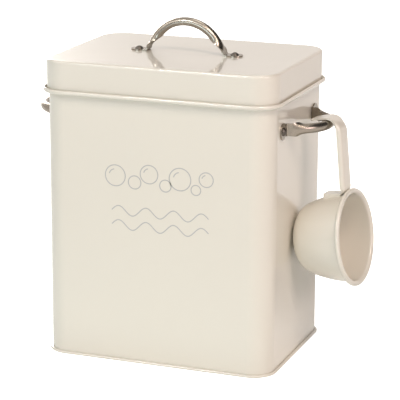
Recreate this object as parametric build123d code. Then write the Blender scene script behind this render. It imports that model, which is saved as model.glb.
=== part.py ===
from build123d import *
from math import asin, cos, degrees, radians, sin, sqrt
import os

# Slip-lid steel box for laundry powder, with three riveted bow handles and a scoop hung on one.
# Millimetres, +Z up. The front faces -Y and the scoop hangs on the +X side.
# The origin is the middle of the plane that the box stands on.

# Box
box_width = 180.0
box_depth = 132.0
corner_radius = 16.6
overall_height = 228.2
sheet = 0.6
seam_gap = 0.1
overrun = 5.0

# Wall: its open top edge is rolled inwards, and its foot turns out into the base's seam
wall_curl_radius = 1.3
wall_curl_turn = 265.0
foot_bend = 0.6
foot_reach = 0.95

# Side seam up the middle of the back: two hooks of the sheet, pressed together
hook_length = 5.0
joggle_radius = 1.2
joggle_turn = 50.0
seam_end_margin = 6.0

# Base: recessed panel, folded round the wall's foot
base_recess = 3.4
base_bend = 0.8
base_return_gap = 0.25
panel_stub = 6.0

# Lid: skirt with a wire-like roll along its lower edge
lid_clearance = 1.05
lid_edge_radius = 2.1
lid_rest_gap = 0.2
skirt_depth = 25.0
bead_radius = 1.75
bead_turn = 245.0

# Bow handle, one size in three places: round pads, flat necks and a strip rolled into a grip
rivet_spacing = 77.5
side_handle_drop = 45.6
left_handle_forward = 4.0
bow_radius = 32.0
bow_centre_drop = 4.8
strap_sheet = 1.1
pad_radius = 6.2
neck_width = 9.4
neck_blend_radius = 2.5
foot_radius = 1.6
bow_strip = 14.0
bow_roll = 262.0
bow_start_angle = 14.0
bow_full_angle = 42.0
# Up the leg from flat to fully rolled: part of the way, and part of the roll
bow_roll_shares = [(0.0, 0.0), (0.28, 0.22), (0.5, 0.56), (0.72, 0.86), (1.0, 1.0)]

# Rivet
rivet_radius = 2.0
rivet_play = 0.06
rivet_head_radius = 3.3
rivet_head_height = 2.0
rivet_tail_radius = 2.9
rivet_tail_height = 1.1

# Scoop bowl: one drawn sheet with its rim rolled outwards; it leans on the box's side
scoop_drop = 85.3
scoop_tilt = 7.8
scoop_yaw = -4.8
scoop_gap = 0.2
scoop_sheet = 0.8
bowl_radius = 33.5
bowl_depth = 45.0
# Outline from the rim inwards: a long side arc, a shoulder and a flatter crown
bowl_side_turn = 23.0
bowl_shoulder_turn = 55.0
bowl_shoulder_radius = 15.3
rim_entry_radius = 2.0
rim_bead_radius = 1.75
rim_turn = 285.0

# Scoop handle: a channel strap that flattens round its two bends, into a hook and a welded tab
hanger_sheet = 1.2
hook_width = 15.6
hanger_channel_width = 18.8
hanger_web_share = 0.6
hanger_corner_share = 0.25
hanger_web_turn = 14.0
hanger_corner_turn = 80.0
hanger_lean = 5.4
hook_radius = 12.5
hook_droop = 12.0
hook_tongue = 10.0
hook_fade = 70.0
hang_gap = 0.2
tab_length = 13.6
tab_width = 11.0
tab_bend = 4.7
tab_gap = 0.05
strip_corner_radius = 1.5
# Round a bend, from flat to full channel: part of the bend, and part of the section's turn
channel_shares = [(0.0, 0.0), (0.2, 0.1), (0.4, 0.33), (0.6, 0.62), (0.8, 0.88), (1.0, 1.0)]

wall_face = box_width / 2
wall_top = overall_height - sheet - lid_rest_gap
handle_height = overall_height - side_handle_drop
grip_radius = bow_strip / 2 / radians(bow_roll / 2) + strap_sheet / 2
rim_lip = rim_entry_radius - rim_bead_radius + scoop_sheet / 2
rim_radius = bowl_radius - scoop_sheet / 2 + rim_entry_radius


def fold(start, heading, steps):
    """Centre line of a folded sheet: each step is a straight length, or a (radius, turn) bend."""
    edges, point, angle = [], Vector(*start), heading
    for step in steps:
        along = Vector(cos(radians(angle)), sin(radians(angle)))
        if isinstance(step, tuple):
            edge = JernArc(point, along, step[0], step[1])
            angle += step[1]
        else:
            edge = Line(point, point + along * step)
        edges.append(edge)
        point = edge @ 1
    return edges


def sheet_section(start, heading, steps, thickness=sheet):
    """Section of a folded sheet, drawn upright: x outwards from the wall's outer face, y up."""
    return Plane.XZ * trace(Curve() + fold(start, heading, steps), line_width=thickness)


def wrap(section):
    """Carry an upright section round the box's outline, as straights and corner turns."""
    along_x, along_y = wall_face - corner_radius, box_depth / 2 - corner_radius
    corner = revolve(Pos(corner_radius, 0, 0) * section, Axis.Z, 90)
    side = Pos(wall_face, along_y, 0) * extrude(section, 2 * along_y)
    back = Rot(0, 0, 90) * Pos(box_depth / 2, along_x, 0) * extrude(section, 2 * along_x)
    half = side + Pos(along_x, along_y, 0) * corner
    half += back + Rot(0, 0, 90) * Pos(along_y, along_x, 0) * corner
    return half + Rot(0, 0, 180) * half


def panel(level, inset):
    """Flat sheet whose top is at the level, inset from the wall's outer face."""
    plan = RectangleRounded(box_width - 2 * inset, box_depth - 2 * inset, corner_radius - inset)
    return Pos(0, 0, level - sheet) * extrude(plan, sheet)


def handle_seats():
    """Where each bow handle stands, and the names of the ends of its X axis."""
    side = {"x_dir": (0, 1, 0)}
    left = (-wall_face, -left_handle_forward, handle_height)
    return {
        "lid": (Plane(origin=(0, 0, overall_height)), ("left", "right")),
        "left": (Plane(left, z_dir=(-1, 0, 0), **side), ("front", "back")),
        "right": (Plane((wall_face, 0, handle_height), z_dir=(1, 0, 0), **side), ("front", "back")),
    }


def rivet_holes(name):
    """Holes in the sheet below a bow handle's two pads."""
    seat = handle_seats()[name][0]
    hole = Cylinder(rivet_radius + rivet_play, overrun)
    return [seat * Pos(side * rivet_spacing / 2, 0, 0) * hole for side in (-1, 1)]


def wall_section():
    foot_level = 1.5 * sheet + seam_gap
    curl = wall_curl_radius - sheet / 2
    straight = wall_top - wall_curl_radius - foot_level - foot_bend
    return sheet_section(
        (foot_reach, foot_level),
        180,
        [foot_reach + sheet / 2 - foot_bend, (foot_bend, -90), straight, (curl, wall_curl_turn)],
    )


def seam_hooks():
    """Section of the back seam in plan, y outwards from the wall's outer face."""
    pitch = sheet + seam_gap
    half = hook_length / 2
    outer = fold((-half - pitch, -sheet / 2), 0, [hook_length + pitch, (pitch, -180), hook_length])
    rise = 3 * pitch
    slant = (rise - 2 * joggle_radius * (1 - cos(radians(joggle_turn)))) / sin(radians(joggle_turn))
    inner = fold(
        (half, -sheet / 2 - pitch),
        180,
        [hook_length, (pitch, 180), hook_length + pitch, (joggle_radius, joggle_turn), slant]
        + [(joggle_radius, -joggle_turn), pitch],
    )
    hooks = [trace(Curve() + line, line_width=sheet) for line in (outer, inner)]
    return hooks, (inner[-1] @ 1).X, -half - pitch


def wall():
    body = wrap(wall_section())
    hooks, right, left = seam_hooks()
    low = foot_bend + sheet + seam_end_margin
    high = wall_top - wall_curl_radius - seam_end_margin
    back = Pos(0, box_depth / 2, low)
    slot = Pos(left, -sheet - overrun, 0) * Box(
        right - left, sheet + 2 * overrun, high - low, align=(Align.MIN, Align.MIN, Align.MIN)
    )
    body -= back * slot
    for hook in hooks:
        body += back * extrude(hook, high - low)
    for hole in rivet_holes("left") + rivet_holes("right"):
        body -= hole
    return body


def base():
    fold_radius = sheet + seam_gap
    inner_face = -sheet - seam_gap - sheet / 2
    bend = sheet
    drop = base_recess - sheet / 2 - sheet / 2 - base_bend - bend
    fold_centre = foot_reach + seam_gap / 2
    section = sheet_section(
        (-panel_stub, base_recess - sheet / 2),
        0,
        [panel_stub + inner_face - base_bend, (base_bend, -90), drop, (bend, 90)]
        + [fold_centre - inner_face - bend, (fold_radius, 180), fold_centre - base_return_gap],
    )
    return wrap(section) + panel(base_recess, panel_stub)


def lid():
    edge = lid_edge_radius - sheet / 2
    roll = bead_radius - sheet / 2
    skirt = lid_clearance + sheet / 2
    drop = skirt_depth - lid_edge_radius - bead_radius
    section = sheet_section(
        (-panel_stub, overall_height - sheet / 2),
        0,
        [panel_stub + skirt - edge, (edge, -90), drop, (roll, bead_turn)],
    )
    body = wrap(section) + panel(overall_height, panel_stub)
    for hole in rivet_holes("lid"):
        body -= hole
    return body


def strip_section(steps, thickness):
    """Section of a strip with its crown at the origin and its edges bent towards -Y.

    The steps run outwards from the crown, each a (length, turn) measured at mid thickness.
    """
    rails = []
    for side in (thickness / 2, -thickness / 2):
        path = [(length / radians(turn) + side, -turn) if turn else length for length, turn in steps]
        rails.append(fold((0, side - thickness / 2), 0, path))
    edge = Line(rails[0][-1] @ 1, rails[1][-1] @ 1)
    half = rails[0] + [edge] + rails[1]
    return make_face(half + [mirror(line, Plane.YZ) for line in half])


def blend(shares, section, plane):
    """Loft a section that changes along the shares of a way."""
    return loft([plane(way) * section(share) for way, share in shares])


def grip_section(share):
    width = neck_width + share * (bow_strip - neck_width)
    return strip_section([(width / 2, share * bow_roll / 2)], strap_sheet)


def bow_plane(angle):
    """Across the bow at an angle on its crest circle, with Y pointing outwards."""
    out, up = cos(radians(angle)), sin(radians(angle))
    crest = (bow_radius * out, 0, bow_radius * up - bow_centre_drop)
    return Plane(origin=crest, x_dir=(0, 1, 0), z_dir=(up, 0, -out))


def bow_foot():
    """Riveted pad, flat neck and the bend up into the leg."""
    turn = 90 - bow_start_angle
    mid = bow_radius - strap_sheet / 2
    out, up = cos(radians(bow_start_angle)), sin(radians(bow_start_angle))
    rise = mid * up - bow_centre_drop - strap_sheet / 2 - foot_radius * (1 - cos(radians(turn)))
    leg = rise / out
    bend_start = mid * out + leg * up + foot_radius * sin(radians(turn))
    pad_centre = rivet_spacing / 2
    line = fold(
        (pad_centre, strap_sheet / 2), 180, [pad_centre - bend_start, (foot_radius, -turn), leg]
    )
    neck = extrude(Plane.XZ * trace(Curve() + line, line_width=strap_sheet), neck_width / 2, both=True)
    plan = Pos(pad_centre, 0) * Circle(pad_radius)
    plan += Pos((bend_start + pad_centre) / 2, 0) * Rectangle(pad_centre - bend_start, neck_width)
    corners = plan.vertices().filter_by(lambda v: bend_start < v.X < pad_centre - strap_sheet)
    plan = fillet(corners.sort_by(Axis.X)[-2:], neck_blend_radius)
    hole = Pos(pad_centre, 0, 0) * Cylinder(rivet_radius + rivet_play, overrun)
    return neck + extrude(plan, strap_sheet) - hole


def bow_handle():
    """Bow along X, standing on the plane of its pads."""
    span = bow_full_angle - bow_start_angle
    leg = blend(bow_roll_shares, grip_section, lambda way: bow_plane(bow_start_angle + way * span))
    side = bow_foot() + leg
    turn_axis = Axis((0, 0, -bow_centre_drop), (0, -1, 0))
    crown = revolve(bow_plane(bow_full_angle) * grip_section(1), turn_axis, 180 - 2 * bow_full_angle)
    return crown + side + mirror(side, Plane.YZ)


def cap(level, radius, height):
    """Edge of a domed end, from its top down to its rim."""
    ball = (radius**2 + height**2) / 2 / height
    return fold((0, level), 0, [(ball, -degrees(asin(radius / ball)))])[0]


def rivet():
    """Rivet along Z through a pad and the sheet below it, set with a low dome inside."""
    head = cap(strap_sheet + rivet_head_height, rivet_head_radius, rivet_head_height)
    tail = mirror(cap(sheet + rivet_tail_height, rivet_tail_radius, rivet_tail_height), Plane.XZ)
    shank = Polyline(
        (rivet_head_radius, strap_sheet),
        (rivet_radius, strap_sheet),
        (rivet_radius, -sheet),
        (rivet_tail_radius, -sheet),
    )
    core = Line(tail @ 0, head @ 0)
    return revolve(Plane.XZ * make_face([head, shank, tail, core]), Axis.Z)


def bowl_arcs():
    """Radius and turn of each arc of the bowl's outer face, from the rim to the crown's middle."""
    bends = [radians(bowl_side_turn), radians(bowl_side_turn + bowl_shoulder_turn)]
    out, down = [1 - cos(bend) for bend in bends], [sin(bend) for bend in bends]
    across = bowl_radius - bowl_shoulder_radius * (out[1] - out[0])
    deep = bowl_depth - rim_lip - bowl_shoulder_radius * (down[1] - down[0])
    shrink = out[0] * (1 - down[1]) - down[0] * (1 - out[1])
    side_radius = (across * (1 - down[1]) - deep * (1 - out[1])) / shrink
    crown_radius = (out[0] * deep - down[0] * across) / shrink
    crown_turn = 90 - bowl_side_turn - bowl_shoulder_turn
    return [
        (side_radius, bowl_side_turn),
        (bowl_shoulder_radius, bowl_shoulder_turn),
        (crown_radius, crown_turn),
    ]


def scoop_bowl():
    """Bowl with its mouth upwards in the plane of its rim, about Z."""
    faces = []
    for inset in (0, scoop_sheet):
        start = (bowl_radius - inset, -rim_lip)
        side = inset - scoop_sheet / 2
        wall_arcs = [(radius - inset, -turn) for radius, turn in bowl_arcs()]
        entry, roll = rim_entry_radius + side, rim_bead_radius - scoop_sheet / 2 + side
        rim_arcs = [(entry, -90), (roll, 90 - rim_turn)]
        faces.append((fold(start, -90, wall_arcs), fold(start, 90, rim_arcs)))
    (outer, outer_rim), (inner, inner_rim) = faces
    core = Line(outer[-1] @ 1, inner[-1] @ 1)
    tip = Line(outer_rim[-1] @ 1, inner_rim[-1] @ 1)
    edges = outer + inner + outer_rim + inner_rim + [core, tip]
    return revolve(Plane.XZ * make_face(edges), Axis.Z)


def bowl_point(depth, radius):
    """Point above the bowl's axis, upright in the scoop's plane, from its depth and radius."""
    out, up = cos(radians(scoop_tilt)), sin(radians(scoop_tilt))
    return Vector(-depth * out - radius * up, radius * out - depth * up)


def strap_plane(line, way):
    """Across the strap part of the way along its middle line; Y points out of its right side."""
    tangent = line % way
    out = Vector(tangent.Y, 0, -tangent.X)
    across = Vector(0, 1, 0)
    origin = Vector((line @ way).X, 0, (line @ way).Y) + out * hanger_sheet / 2
    return Plane(origin=origin, x_dir=across, z_dir=across.cross(out))


def channel_section(share, flat_width):
    half = (flat_width + share * (hanger_channel_width - flat_width)) / 2
    web, corner = hanger_web_share * half, hanger_corner_share * half
    steps = [(web, share * hanger_web_turn / 2), (corner, share * hanger_corner_turn)]
    return strip_section(steps + [(half - web - corner, 0)], hanger_sheet)


def flat_strip(line, width):
    """Flat length of the strap along its middle line, with round corners where the line ends."""
    section = Plane.XZ * trace(Curve() + line, line_width=hanger_sheet)
    strip = extrude(section, width / 2, both=True)
    end = Vector((line[-1] @ 1).X, 0, (line[-1] @ 1).Y)
    corners = strip.edges().filter_by(lambda edge: edge.length < 2 * hanger_sheet)
    return fillet(corners.sort_by(lambda edge: (edge.center() - end).length)[:2], strip_corner_radius)


def hung_bars():
    """Middle of the bow's grip where the hook's edges and middle cross it, in the scoop's plane."""
    out, turn = wall_face - bow_centre_drop - scoop_frame().origin.X, radians(scoop_yaw)
    bars = []
    for across in (-hook_width / 2, 0, hook_width / 2):
        reach = sqrt((bow_radius - grip_radius) ** 2 - (across + out * sin(turn)) ** 2)
        bars.append(Vector(out * cos(turn) + reach, scoop_drop))
    return bars


def hang_run(foot, bar):
    """Length of channel from its foot at which the hook's arc clears the bar by the hang gap."""
    lean, mid = radians(hanger_lean), hook_radius - hanger_sheet / 2
    way = bar - foot + mid * Vector(cos(lean), sin(lean))
    along = way.dot(Vector(-sin(lean), cos(lean)))
    clear = mid - hanger_sheet / 2 - grip_radius - hang_gap
    return along - sqrt(along**2 - way.length**2 + clear**2)


def strap_lines():
    """Middle lines of the strap in the scoop's plane: tab, bend, channel, fading hook and tongue.

    The bend passes just behind the rolled rim, and the hook's arc lies over the bow's grip.
    """
    upright, mid = 90 + hanger_lean, hook_radius - hanger_sheet / 2
    level = bowl_radius + tab_gap + hanger_sheet / 2
    reach = tab_bend + hanger_sheet / 2 + rim_bead_radius + tab_gap
    root = sqrt(reach**2 - (level + tab_bend - rim_radius) ** 2)
    tab = Line(bowl_point(root, level), bowl_point(root + tab_length, level))
    bend = fold(tab @ 0, scoop_tilt, [(tab_bend, upright - scoop_tilt)])[0]
    run = max(hang_run(bend @ 1, bar) for bar in hung_bars())
    rest = 90 + hook_droop - hanger_lean - hook_fade
    steps = [run, (mid, hook_fade), (mid, rest), hook_tongue]
    return [tab, bend] + fold(bend @ 1, upright, steps)


def fade(line, start, end, flat_width):
    """Strap round a bend, where its section changes from flat at the start to channel at the end."""
    sections = []
    for way, share in channel_shares:
        place = strap_plane(line, start + way * (end - start))
        sections.append(place * channel_section(share, flat_width))
    return loft(sections)


def scoop_handle():
    """Strap of the scoop: a channel that flattens into the welded tab and into the hook."""
    tab, bend, run, arc, *tongue = strap_lines()
    channel = strap_plane(run, 0) * extrude(channel_section(1, hook_width), -run.length)
    body = channel + fade(bend, 0, 1, tab_width) + fade(arc, 1, 0, hook_width)
    return body + flat_strip([tab], tab_width) + flat_strip(tongue, hook_width)


def scoop_frame():
    """Frame of the hung scoop: the middle of its mouth, with X straight out of it, level."""
    level = cos(radians(scoop_tilt)) * cos(radians(scoop_yaw))
    crown_radius = bowl_arcs()[-1][0]
    reach = (bowl_depth - crown_radius) * level + crown_radius
    return Plane(
        origin=(wall_face + scoop_gap + reach, 0, handle_height - scoop_drop),
        x_dir=(cos(radians(scoop_yaw)), sin(radians(scoop_yaw)), 0),
        z_dir=(0, 0, 1),
    )


def nodes():
    scoop = scoop_frame()
    parts = {
        "wall": wall(),
        "base": base(),
        "lid": lid(),
        "scoop_bowl": scoop * Rot(0, 90 - scoop_tilt, 0) * scoop_bowl(),
        "scoop_handle": scoop * scoop_handle(),
    }
    bow, pin = bow_handle(), rivet()
    for name, (seat, ends) in handle_seats().items():
        parts[f"{name}_handle"] = seat * bow
        for end, side in zip(ends, (-1, 1)):
            parts[f"{name}_rivet_{end}"] = seat * Pos(side * rivet_spacing / 2, 0, 0) * pin
    return parts


os.makedirs("parts", exist_ok=True)
for node, shape in nodes().items():
    export_step(shape, f"parts/{node}.step")
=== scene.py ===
from math import cos, pi, radians, sin

import bmesh
import bpy
from mathutils import Matrix, Vector
from mathutils.bvhtree import BVHTree


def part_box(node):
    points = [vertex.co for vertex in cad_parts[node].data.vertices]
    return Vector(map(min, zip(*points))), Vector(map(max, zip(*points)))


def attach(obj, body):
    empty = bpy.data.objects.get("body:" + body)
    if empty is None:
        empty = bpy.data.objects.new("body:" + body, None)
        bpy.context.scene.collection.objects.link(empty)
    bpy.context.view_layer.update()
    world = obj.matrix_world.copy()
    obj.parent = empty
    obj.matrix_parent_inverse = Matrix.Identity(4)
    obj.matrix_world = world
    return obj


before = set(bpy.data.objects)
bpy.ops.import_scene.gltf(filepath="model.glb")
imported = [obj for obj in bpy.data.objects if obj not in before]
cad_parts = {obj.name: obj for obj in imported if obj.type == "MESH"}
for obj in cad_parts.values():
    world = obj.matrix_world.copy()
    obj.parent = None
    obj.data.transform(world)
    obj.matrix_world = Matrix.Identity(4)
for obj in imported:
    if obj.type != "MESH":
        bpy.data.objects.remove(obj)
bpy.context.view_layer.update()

# Laundry powder box in a pale studio: cream enamel, bright steel and a thin grey print.
# Camera, lamps and stage are in metres, the print and the weld in millimetres.
MM = 0.001

# Camera, fitted to the photograph
CAMERA_PLACE = Vector((0.49731, -1.29422, 0.48079))
CAMERA_LOOK = Vector((-0.33967, 0.90489, -0.25652))
CAMERA_ROLL = radians(0.276)
CAMERA_LENS = 166.85
SENSOR = 36.0

# Light of the world on the box, and how bright the camera finds the floor and its reflection
WORLD_LIGHT = 0.18
WORLD_COLOR = (1, 0.97, 0.98, 1)
SEEN_COLOR = (1, 1, 1, 1)
FLOOR_COLOR = (0.86, 0.88, 0.86, 1)
FLOOR_REACH = 6.0
FLOOR_GLOW = 0.8
FLOOR_MIRROR_GLOW = 0.42
STAGE_ROUGHNESS = 0.9
# What gloss paint and steel mirror of the studio is a little darker and warmer than white
MIRROR_TINT = (0.9, 0.84, 0.79, 1)

# Each lamp: name, place, point that it faces, width and height, watts, colour
LAMPS = [
    ("key", (-0.9, -1.92, 2.27), (0, 0, 0.15), (5.4, 0.3), 25.6, (0.97, 1, 1)),
    ("side_high", (0.98, -0.98, 1.75), (0, 0, 0.1), (0.6, 0.6), 15.6, (1, 0.83, 0.72)),
    ("side_low", (2.1, -0.9, 0.9), (0, 0, 0.1), (0.7, 0.7), 11.2, (1, 0.81, 0.83)),
    ("front", (-0.4, -2.2, 0.45), (0, 0, 0.1), (1.2, 0.5), 9.2, (0.84, 0.96, 1)),
    ("back", (-1.5, 1.9, 0.7), (0, 0, 0.1), (0.9, 0.9), 21, (1, 0.96, 0.91)),
    ("left", (-1.7, -1.2, 1.0), (0, 0, 0.1), (0.7, 0.7), 2.0, (1, 1, 0.97)),
    ("top", (0.1, 0.5, 2.4), (0, 0, 0.2), (0.9, 0.9), 6, (1, 0.97, 0.93)),
]
# Light that comes back from the floor before the box, and a lamp that shows only as a highlight
BOUNCE = ("bounce", (-0.02, -0.17, 0.004), (-0.02, -0.17, 0.3), (0.34, 0.17), 0.044, (0.7, 0.95, 1))
GLINT = ("glint_edges", (-0.88, -1.78, 1.97), (0, 0, 0.2), (0.4, 0.3), 14, (1, 1, 1))

# Dark boards, which show only in gloss paint and steel: name, place, point that they face, size
FLAGS = [
    ("flag_right", (1.63, 1.14, 1.67), (0, 0, 0.2), (3.4, 2.4)),
    ("flag_front", (-0.4, -3.0, 0.65), (0, 0, 0.2), (3.4, 1.5)),
]
# Painted shadow: a dark card on the floor behind the box, seen only in reflections. It stands in for the
# box's shadow on the floor there and fades out to its edge.
FLOOR_SHADOW_CARD = ("floor_shadow_card", (0.2, 0.17, 0.002), (0.2, 0.17, -1), (0.36, 0.34))
# How far a board's mesh reaches from its middle, before it is scaled to its size
FLAG_REACH = 0.5
FLAG_COLOR = (0.05, 0.05, 0.05, 1)
FLOOR_SHADOW_CARD_COVER = 0.85

# Detail of a noise pattern
SMOOTH = 1.0
MEDIUM = 2.0
RICH = 3.0

# Enamel: cloudy colour coat, clear coat, and relief as scale and height
CREAM = (0.765, 0.73, 0.64)
CREAM_SHADES = (0.985, 1.012)
CREAM_SCALE = 9.0
ENAMEL_ROUGHNESS = (0.36, 0.44)
ENAMEL_ROUGHNESS_SCALE = 60.0
ENAMEL_IOR = 1.45
COAT_WEIGHT = 1.0
COAT_ROUGHNESS = 0.05
COAT_IOR = 1.5
PEEL_SCALE, PEEL_HEIGHT = 700.0, 0.003
SWELL_SCALE, SWELL_HEIGHT = 14.0, 0.35

# Steel of the handles, and the duller steel of the rivets
HANDLE_STEEL = (0.33, 0.295, 0.25)
HANDLE_ROUGHNESS = (0.20, 0.30)
RIVET_STEEL = (0.13, 0.115, 0.10)
RIVET_ROUGHNESS = (0.38, 0.48)
STEEL_SHADES = (0.86, 1.08)
STEEL_SCALE = 90.0
STEEL_ROUGHNESS_SCALE = 250.0
GRAIN_SCALE, GRAIN_HEIGHT = 900.0, 0.01

INK = (0.46, 0.455, 0.445)
INK_SHADES = (0.93, 1.07)
INK_SCALE = 420.0
INK_ROUGHNESS = 0.5

# Print on the front: soap bubbles over two waves, in thin lines
BOX_FRONT = 66.0
PRINT_LINE = 0.75
PRINT_PROUD = 0.03
PRINT_SUNK = 0.01
# Each bubble: across from the middle of the front, height, radius
BUBBLES = [
    (-31, 145, 8),
    (-15.5, 141, 5),
    (-4, 148, 7),
    (9, 140.5, 4.5),
    (20.5, 146.5, 8.5),
    (33, 139.5, 3.8),
    (41, 148, 5.5),
]
CIRCLE_STEP = 6
CIRCLE_LEAST_STEPS = 12
FULL_TURN = 360
# A bubble over this radius has a short arc of shine inside its upper left
SHINE_LEAST_RADIUS = 5
SHINE_RADIUS_SHARE = 0.62
SHINE_START, SHINE_END = 100, 165
WAVE_HEIGHTS = [118.5, 107.5]
WAVE_START, WAVE_END = -34.0, 43.0
WAVE_LENGTH = 22.0
WAVE_RISE = 3.6
WAVE_STEPS = 84

# Weld under the scoop's tab: how far it runs out on the bowl, and sinks into both
WELD_FLARE = 0.5
WELD_SINK = 0.1
# The tab is the lowest part of the scoop's handle: its height, and how level its underside is
TAB_ZONE = 4.0
LEVEL_ENOUGH = 0.999

# Points nearer than this are one point
SAME_POINT = 0.001


def turned_to(place, aim):
    """Rotation of a lamp or board at one place that faces another."""
    return (Vector(aim) - Vector(place)).to_track_quat("-Z", "Y").to_euler()


def make_camera():
    data = bpy.data.cameras.new("camera")
    data.lens = CAMERA_LENS
    data.sensor_width = SENSOR
    camera = bpy.data.objects.new("camera", data)
    bpy.context.scene.collection.objects.link(camera)
    look = CAMERA_LOOK.normalized()
    right = look.cross(Vector((0, 0, 1))).normalized()
    up = right.cross(look)
    rolled_right = right * cos(CAMERA_ROLL) + up * sin(CAMERA_ROLL)
    rolled_up = up * cos(CAMERA_ROLL) - right * sin(CAMERA_ROLL)
    axes = Matrix((rolled_right, rolled_up, -look)).transposed()
    camera.matrix_world = Matrix.Translation(CAMERA_PLACE) @ axes.to_4x4()
    bpy.context.scene.camera = camera


def node(tree, kind, inputs=None, **settings):
    made = tree.nodes.new(kind)
    for key, value in settings.items():
        setattr(made, key, value)
    for key, value in (inputs or {}).items():
        made.inputs[key].default_value = value
    return made


def material(name):
    made = bpy.data.materials.new(name)
    made.use_nodes = True
    tree = made.node_tree
    return made, tree, tree.nodes["Principled BSDF"]


def object_place(tree):
    return node(tree, "ShaderNodeTexCoord").outputs["Object"]


def noise(tree, place, scale, detail=MEDIUM):
    made = node(tree, "ShaderNodeTexNoise", {"Scale": scale, "Detail": detail})
    tree.links.new(place, made.inputs["Vector"])
    return made.outputs["Fac"]


def spread(tree, value, low, high):
    """A value from 0 to 1, spread from low to high."""
    made = node(tree, "ShaderNodeMapRange", {"To Min": low, "To Max": high})
    tree.links.new(value, made.inputs["Value"])
    return made.outputs["Result"]


def shaded(color, shade):
    return (*[min(1, channel * shade) for channel in color], 1)


def mottle(tree, pattern, color, shades):
    """The colour, between a darker and a lighter shade of it as the pattern goes."""
    mix = node(tree, "ShaderNodeMix", data_type="RGBA")
    mix.inputs["A"].default_value = shaded(color, shades[0])
    mix.inputs["B"].default_value = shaded(color, shades[1])
    tree.links.new(pattern, mix.inputs["Factor"])
    return mix.outputs["Result"]


def bump(tree, pattern, height, under=None):
    made = node(tree, "ShaderNodeBump", {"Distance": height * MM})
    tree.links.new(pattern, made.inputs["Height"])
    if under:
        tree.links.new(under, made.inputs["Normal"])
    return made.outputs["Normal"]


def enamel(name):
    """Gloss enamel on sheet steel: a satin colour coat under a clear one, with the sheet's slow swell."""
    made, tree, shader = material(name)
    place = object_place(tree)
    color = mottle(tree, noise(tree, place, CREAM_SCALE, RICH), CREAM, CREAM_SHADES)
    roughness = spread(tree, noise(tree, place, ENAMEL_ROUGHNESS_SCALE), *ENAMEL_ROUGHNESS)
    peel = bump(tree, noise(tree, place, PEEL_SCALE, SMOOTH), PEEL_HEIGHT)
    relief = bump(tree, noise(tree, place, SWELL_SCALE, SMOOTH), SWELL_HEIGHT, peel)
    tree.links.new(color, shader.inputs["Base Color"])
    tree.links.new(roughness, shader.inputs["Roughness"])
    tree.links.new(relief, shader.inputs["Normal"])
    tree.links.new(relief, shader.inputs["Coat Normal"])
    shader.inputs["IOR"].default_value = ENAMEL_IOR
    shader.inputs["Coat Weight"].default_value = COAT_WEIGHT
    shader.inputs["Coat Roughness"].default_value = COAT_ROUGHNESS
    shader.inputs["Coat IOR"].default_value = COAT_IOR
    return made


def steel(name, base, roughness_range):
    """Rolled steel, a little uneven in its colour, shine and surface."""
    made, tree, shader = material(name)
    place = object_place(tree)
    color = mottle(tree, noise(tree, place, STEEL_SCALE, RICH), base, STEEL_SHADES)
    roughness = spread(tree, noise(tree, place, STEEL_ROUGHNESS_SCALE), *roughness_range)
    grain = bump(tree, noise(tree, place, GRAIN_SCALE), GRAIN_HEIGHT)
    tree.links.new(color, shader.inputs["Base Color"])
    tree.links.new(roughness, shader.inputs["Roughness"])
    tree.links.new(grain, shader.inputs["Normal"])
    shader.inputs["Metallic"].default_value = 1.0
    return made


def print_ink(name):
    """Matt grey ink, a little uneven where it took on the enamel."""
    made, tree, shader = material(name)
    pattern = noise(tree, object_place(tree), INK_SCALE)
    tree.links.new(mottle(tree, pattern, INK, INK_SHADES), shader.inputs["Base Color"])
    shader.inputs["Roughness"].default_value = INK_ROUGHNESS
    return made


def dress_pieces(cream):
    handle_steel = steel("bright_steel", HANDLE_STEEL, HANDLE_ROUGHNESS)
    rivet_steel = steel("rivet_steel", RIVET_STEEL, RIVET_ROUGHNESS)
    for name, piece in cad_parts.items():
        piece.data.materials.clear()
        if "rivet" in name:
            piece.data.materials.append(rivet_steel)
        elif name in ("lid_handle", "left_handle", "right_handle"):
            piece.data.materials.append(handle_steel)
        else:
            piece.data.materials.append(cream)


def link_mesh(name, form, made):
    mesh = bpy.data.meshes.new(name)
    form.to_mesh(mesh)
    form.free()
    mesh.materials.append(made)
    piece = bpy.data.objects.new(name, mesh)
    bpy.context.scene.collection.objects.link(piece)
    return piece


def circle(across, height, radius, start=0, end=FULL_TURN):
    count = max(CIRCLE_LEAST_STEPS, round((end - start) / CIRCLE_STEP))
    angles = [radians(start + (end - start) * step / count) for step in range(count + 1)]
    return [Vector((across + radius * cos(turn), height + radius * sin(turn))) for turn in angles]


def wave(height):
    points = []
    for step in range(WAVE_STEPS + 1):
        run = (WAVE_END - WAVE_START) * step / WAVE_STEPS
        rise = WAVE_RISE * sin(2 * pi * run / WAVE_LENGTH)
        points.append(Vector((WAVE_START + run, height + rise)))
    return points


def neighbours(points, step, closed):
    """The points before and after one of a line, round the join if the line is closed."""
    if 0 < step < len(points) - 1:
        return points[step - 1], points[step + 1]
    if closed:
        return points[-2], points[1]
    return points[max(step - 1, 0)], points[min(step + 1, len(points) - 1)]


def line_ring(form, point, side):
    """Four corners of a printed line's section at a point, across and up on the front face."""
    ring = []
    for edge, depth in ((side, -PRINT_PROUD), (-side, -PRINT_PROUD), (-side, PRINT_SUNK), (side, PRINT_SUNK)):
        spot = Vector((point.x + edge.x, depth - BOX_FRONT, point.y + edge.y))
        ring.append(form.verts.new(spot * MM))
    return ring


def draw_line(form, points):
    """One printed line as a thin strip with closed ends."""
    closed = (points[0] - points[-1]).length < PRINT_SUNK
    rings = []
    for step, point in enumerate(points):
        before, after = neighbours(points, step, closed)
        along = (after - before).normalized()
        rings.append(line_ring(form, point, Vector((-along.y, along.x)) * PRINT_LINE / 2))
    for ring, following in zip(rings, rings[1:]):
        for corner in range(4):
            beside = (corner + 1) % 4
            form.faces.new((ring[corner], ring[beside], following[beside], following[corner]))
    if not closed:
        form.faces.new(reversed(rings[0]))
        form.faces.new(rings[-1])


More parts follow.
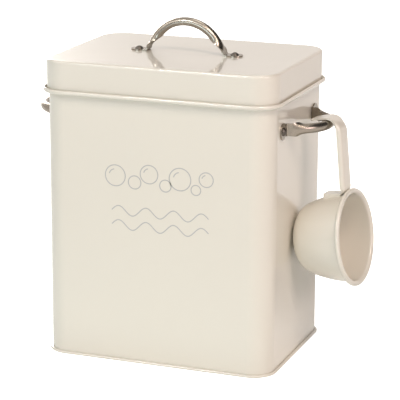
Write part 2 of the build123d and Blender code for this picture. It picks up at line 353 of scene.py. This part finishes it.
def make_print():
    form = bmesh.new()
    for across, height, radius in BUBBLES:
        draw_line(form, circle(across, height, radius))
        if radius > SHINE_LEAST_RADIUS:
            shine_radius = radius * SHINE_RADIUS_SHARE
            draw_line(form, circle(across, height, shine_radius, SHINE_START, SHINE_END))
    for height in WAVE_HEIGHTS:
        draw_line(form, wave(height))
    bmesh.ops.remove_doubles(form, verts=form.verts, dist=SAME_POINT * MM)
    bmesh.ops.recalc_face_normals(form, faces=form.faces)
    piece = link_mesh("front_print", form, print_ink("print_ink"))
    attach(piece, "box")


def tab_underside(strap):
    """Faces of the tab's flat underside, and the way that they face."""
    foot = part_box("scoop_handle")[0].z + TAB_ZONE * MM
    low = [face for face in strap.polygons if face.center.z < foot and face.normal.z < 0]
    down = max(low, key=lambda face: face.area).normal
    return [face for face in low if face.normal.dot(down) > LEVEL_ENOUGH], down


def copy_faces(form, mesh, faces, shift):
    corners = {}
    for face in faces:
        for index in face.vertices:
            if index not in corners:
                corners[index] = form.verts.new(mesh.vertices[index].co + shift)
        form.faces.new([corners[index] for index in face.vertices])
    bmesh.ops.remove_doubles(form, verts=form.verts, dist=SAME_POINT * MM)


def make_weld(made):
    """Weld and paint that fill the wedge between the tab's flat underside and the round bowl."""
    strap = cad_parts["scoop_handle"].data
    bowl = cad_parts["scoop_bowl"].data
    bowl_corners = [spot.co for spot in bowl.vertices]
    surface = BVHTree.FromPolygons(bowl_corners, [tuple(face.vertices) for face in bowl.polygons])
    under, down = tab_underside(strap)
    sink = down * WELD_SINK * MM
    form = bmesh.new()
    copy_faces(form, strap, under, -sink)
    middle = sum((spot.co for spot in form.verts), Vector()) / len(form.verts)
    grown = bmesh.ops.extrude_face_region(form, geom=form.faces[:], use_keep_orig=True)["geom"]
    for spot in [item for item in grown if isinstance(item, bmesh.types.BMVert)]:
        out = spot.co - middle
        out -= down * out.dot(down)
        start = spot.co + out.normalized() * WELD_FLARE * MM
        on_bowl = surface.ray_cast(start, down)[0]
        spot.co = (on_bowl or start) + sink
    bmesh.ops.recalc_face_normals(form, faces=form.faces)
    piece = link_mesh("tab_weld", form, made)
    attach(piece, "box")


def area_light(name, place, aim, size, power, color):
    data = bpy.data.lights.new(name, "AREA")
    data.shape = "RECTANGLE"
    data.size, data.size_y = size
    data.energy = power
    data.color = color
    lamp = bpy.data.objects.new(name, data)
    bpy.context.scene.collection.objects.link(lamp)
    lamp.location = place
    lamp.rotation_euler = turned_to(place, aim)
    return lamp


def make_lamps():
    for row in LAMPS:
        area_light(*row)
    bounce = area_light(*BOUNCE)
    bounce.visible_camera = False
    bounce.visible_glossy = False
    glint = area_light(*GLINT)
    glint.visible_camera = False
    glint.visible_diffuse = False


def either_of(tree, first, second):
    """The larger of two values."""
    made = node(tree, "ShaderNodeMath", operation="MAXIMUM")
    tree.links.new(first, made.inputs[0])
    tree.links.new(second, made.inputs[1])
    return made.outputs["Value"]


def seen_color(tree, path):
    """White where the camera looks straight at the studio, and a tint in a reflection."""
    mix = node(tree, "ShaderNodeMix", data_type="RGBA")
    mix.inputs["A"].default_value = SEEN_COLOR
    mix.inputs["B"].default_value = MIRROR_TINT
    tree.links.new(path.outputs["Is Glossy Ray"], mix.inputs["Factor"])
    return mix.outputs["Result"]


def make_floor():
    """Pale floor that keeps the box's shadow, with a glow that only the camera and reflections see."""
    made, tree, shader = material("studio_floor")
    shader.inputs["Base Color"].default_value = FLOOR_COLOR
    shader.inputs["Roughness"].default_value = STAGE_ROUGHNESS
    path = node(tree, "ShaderNodeLightPath")
    straight = spread(tree, path.outputs["Is Camera Ray"], 0, FLOOR_GLOW)
    mirrored = spread(tree, path.outputs["Is Glossy Ray"], 0, FLOOR_MIRROR_GLOW)
    glow = node(tree, "ShaderNodeEmission")
    both = node(tree, "ShaderNodeAddShader")
    tree.links.new(either_of(tree, straight, mirrored), glow.inputs["Strength"])
    tree.links.new(seen_color(tree, path), glow.inputs["Color"])
    tree.links.new(shader.outputs["BSDF"], both.inputs[0])
    tree.links.new(glow.outputs["Emission"], both.inputs[1])
    tree.links.new(both.outputs["Shader"], tree.nodes["Material Output"].inputs["Surface"])
    form = bmesh.new()
    bmesh.ops.create_grid(form, x_segments=1, y_segments=1, size=FLOOR_REACH)
    link_mesh("floor", form, made)


def make_flag(name, place, aim, size):
    """Dark board, which shows only as a dark band in steel and gloss paint."""
    made, tree, shader = material(name)
    shader.inputs["Base Color"].default_value = FLAG_COLOR
    shader.inputs["Roughness"].default_value = STAGE_ROUGHNESS
    form = bmesh.new()
    bmesh.ops.create_grid(form, x_segments=1, y_segments=1, size=FLAG_REACH)
    flag = link_mesh(name, form, made)
    flag.scale = (*size, 1)
    flag.location = place
    flag.rotation_euler = turned_to(place, aim)
    flag.visible_camera = False
    flag.visible_diffuse = False
    flag.visible_shadow = False
    return tree, shader


def soften_flag(tree, shader):
    """Let a board fade out from its middle to its edge."""
    growth = (1 / FLAG_REACH, 1 / FLAG_REACH, 1 / FLAG_REACH)
    grown = node(tree, "ShaderNodeVectorMath", {1: growth}, operation="MULTIPLY")
    fade = node(tree, "ShaderNodeTexGradient", gradient_type="SPHERICAL")
    tree.links.new(object_place(tree), grown.inputs[0])
    tree.links.new(grown.outputs["Vector"], fade.inputs["Vector"])
    tree.links.new(spread(tree, fade.outputs["Fac"], 0, FLOOR_SHADOW_CARD_COVER), shader.inputs["Alpha"])


def make_world():
    """Plain light on the box, and white where the camera looks past it."""
    world = bpy.data.worlds.new("studio")
    bpy.context.scene.world = world
    world.use_nodes = True
    tree = world.node_tree
    background = tree.nodes["Background"]
    background.inputs["Color"].default_value = WORLD_COLOR
    background.inputs["Strength"].default_value = WORLD_LIGHT
    seen = node(tree, "ShaderNodeBackground")
    path = node(tree, "ShaderNodeLightPath")
    looked_at = either_of(tree, path.outputs["Is Camera Ray"], path.outputs["Is Glossy Ray"])
    mix = node(tree, "ShaderNodeMixShader")
    tree.links.new(seen_color(tree, path), seen.inputs["Color"])
    tree.links.new(looked_at, mix.inputs["Fac"])
    tree.links.new(background.outputs["Background"], mix.inputs[1])
    tree.links.new(seen.outputs["Background"], mix.inputs[2])
    tree.links.new(mix.outputs["Shader"], tree.nodes["World Output"].inputs["Surface"])


make_camera()
make_world()
make_floor()
make_lamps()
for flag_row in FLAGS:
    make_flag(*flag_row)
# Painted floor shadow behind the box: a soft dark card that only reflections show
soften_flag(*make_flag(*FLOOR_SHADOW_CARD))

cream_enamel = enamel("cream_enamel")
dress_pieces(cream_enamel)
make_print()
make_weld(cream_enamel)

bpy.context.scene.view_settings.view_transform = "Standard"
